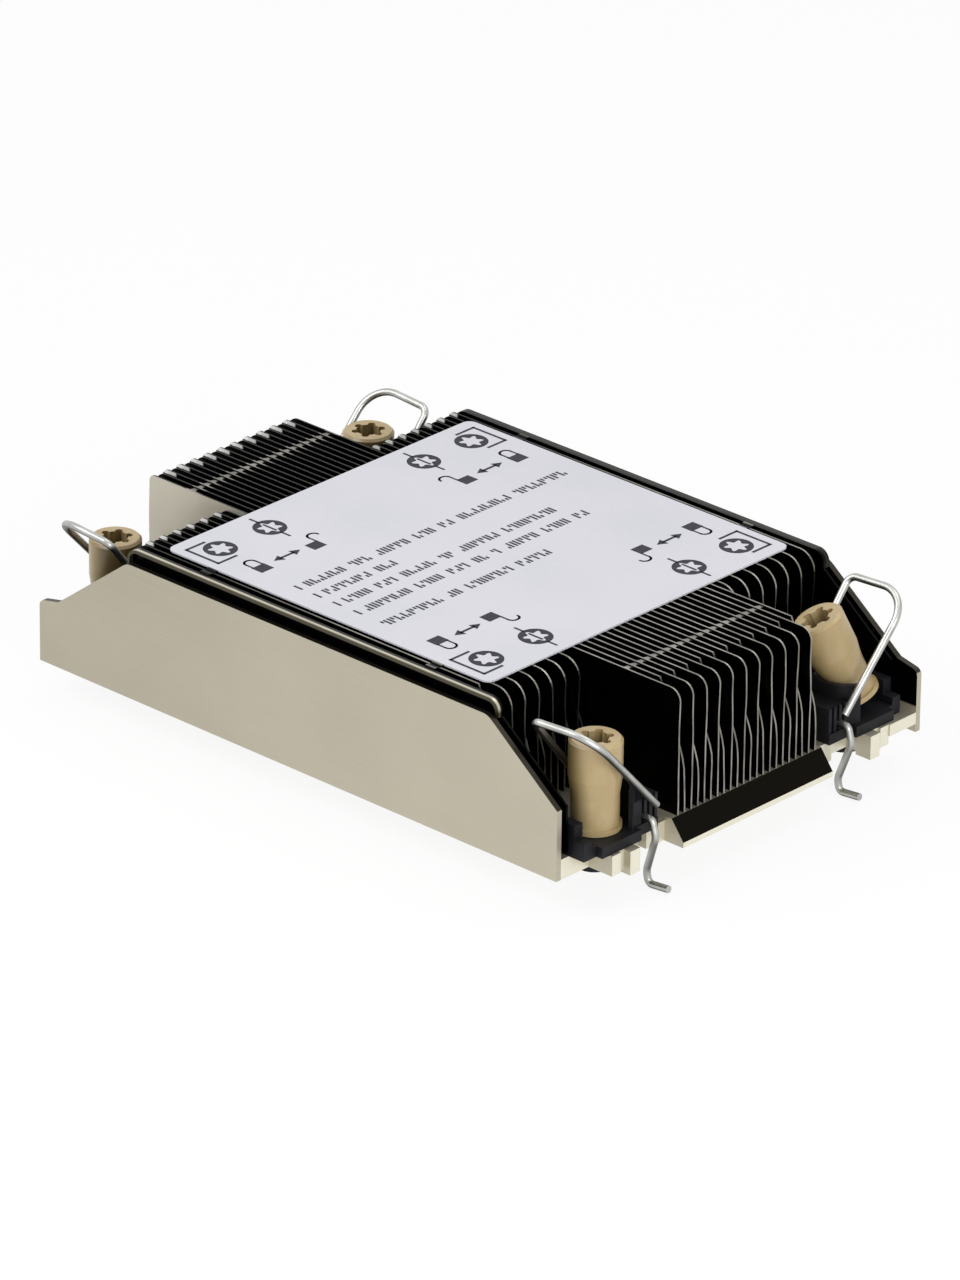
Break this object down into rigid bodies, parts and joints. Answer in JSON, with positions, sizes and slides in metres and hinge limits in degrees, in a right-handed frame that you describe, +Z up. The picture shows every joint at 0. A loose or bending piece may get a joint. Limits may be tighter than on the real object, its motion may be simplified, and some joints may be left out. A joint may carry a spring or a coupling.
{
  "type": "server cpu heatsink",
  "caption": "Low passive heatsink: plated base between upright side walls, a dense pack of thin fins that runs on as a narrower tongue, captive corner nuts and swinging wire bails.",
  "frame": {"origin": "middle of the contact face under the base plate", "axes": "+X along the fins, +Y across the fins, +Z up from the contact face to the label"},
  "size_m": [0.1212, 0.078, 0.0311],
  "materials": {
    "base_plating": "satin nickel plating",
    "wall_plating": "satin nickel plating",
    "fin_metal": "bright rolled sheet",
    "label_film": "satin film",
    "nut_resin": "moulded tan resin",
    "retainer_plastic": "moulded black plastic",
    "bail_wire": "bright drawn wire"
  },
  "bodies": {
    "heatsink": {"base_plate": "base_plating", "edge_fin_front": "fin_metal", "edge_fin_rear": "fin_metal", "label": "label_film", "retainer_front_left": "retainer_plastic", "retainer_front_right": "retainer_plastic", "retainer_rear_left": "retainer_plastic", "retainer_rear_right": "retainer_plastic", "side_fin_pair_01": "fin_metal", "side_fin_pair_02": "fin_metal", "side_fin_pair_03": "fin_metal", "side_fin_pair_04": "fin_metal", "side_fin_pair_05": "fin_metal", "side_fin_pair_06": "fin_metal", "side_fin_pair_07": "fin_metal", "side_fin_pair_08": "fin_metal", "side_fin_pair_09": "fin_metal", "side_fin_pair_10": "fin_metal", "side_fin_pair_11": "fin_metal", "side_fin_pair_12": "fin_metal", "side_fin_pair_13": "fin_metal", "side_wall_front": "wall_plating", "side_wall_rear": "wall_plating", "tongue_fin_01": "fin_metal", "tongue_fin_02": "fin_metal", "tongue_fin_03": "fin_metal", "tongue_fin_04": "fin_metal", "tongue_fin_05": "fin_metal", "tongue_fin_06": "fin_metal", "tongue_fin_07": "fin_metal", "tongue_fin_08": "fin_metal", "tongue_fin_09": "fin_metal", "tongue_fin_10": "fin_metal", "tongue_fin_11": "fin_metal", "tongue_fin_12": "fin_metal", "tongue_fin_13": "fin_metal", "tongue_fin_14": "fin_metal", "tongue_fin_15": "fin_metal", "tongue_fin_16": "fin_metal", "tongue_fin_17": "fin_metal", "tongue_fin_18": "fin_metal", "tongue_fin_19": "fin_metal", "tongue_fin_20": "fin_metal", "tongue_fin_21": "fin_metal", "tongue_fin_22": "fin_metal"},
    "bail_front_left": {"bail_front_left": "bail_wire"},
    "bail_front_right": {"bail_front_right": "bail_wire"},
    "bail_rear_left": {"bail_rear_left": "bail_wire"},
    "bail_rear_right": {"bail_rear_right": "bail_wire"},
    "nut_front_left": {"nut_front_left": "nut_resin"},
    "nut_front_right": {"nut_front_right": "nut_resin"},
    "nut_rear_left": {"nut_rear_left": "nut_resin"},
    "nut_rear_right": {"nut_rear_right": "nut_resin"}
  },
  "joints": [
    {"name": "nut_front_right_turn", "type": "hinge", "parent": "heatsink", "child": "nut_front_right", "pos_m": [0.0512, -0.02875, 0.0053], "axis": [0, 0, 1], "continuous": true},
    {"name": "bail_front_right_swing", "type": "hinge", "parent": "heatsink", "child": "bail_front_right", "pos_m": [0.0515, -0.0225, 0.0062], "axis": [-1, 0, 0], "range_deg": [0, 28]},
    {"name": "nut_rear_right_turn", "type": "hinge", "parent": "heatsink", "child": "nut_rear_right", "pos_m": [0.05195, 0.02995, 0.0074], "axis": [-0.2521, -0.3373, 0.907], "continuous": true},
    {"name": "bail_rear_right_swing", "type": "hinge", "parent": "heatsink", "child": "bail_rear_right", "pos_m": [0.0515, 0.0225, 0.0062], "axis": [1, 0, 0], "range_deg": [0, 5]},
    {"name": "nut_front_left_turn", "type": "hinge", "parent": "heatsink", "child": "nut_front_left", "pos_m": [-0.0512, -0.02875, 0.0053], "axis": [0, 0, 1], "continuous": true},
    {"name": "bail_front_left_swing", "type": "hinge", "parent": "heatsink", "child": "bail_front_left", "pos_m": [-0.0515, -0.0225, 0.0062], "axis": [-1, 0, 0], "range_deg": [0, 28]},
    {"name": "nut_rear_left_turn", "type": "hinge", "parent": "heatsink", "child": "nut_rear_left", "pos_m": [-0.0512, 0.02875, 0.0053], "axis": [0, 0, 1], "continuous": true},
    {"name": "bail_rear_left_swing", "type": "hinge", "parent": "heatsink", "child": "bail_rear_left", "pos_m": [-0.0515, 0.0225, 0.0062], "axis": [1, 0, 0], "range_deg": [0, 28]}
  ]
}
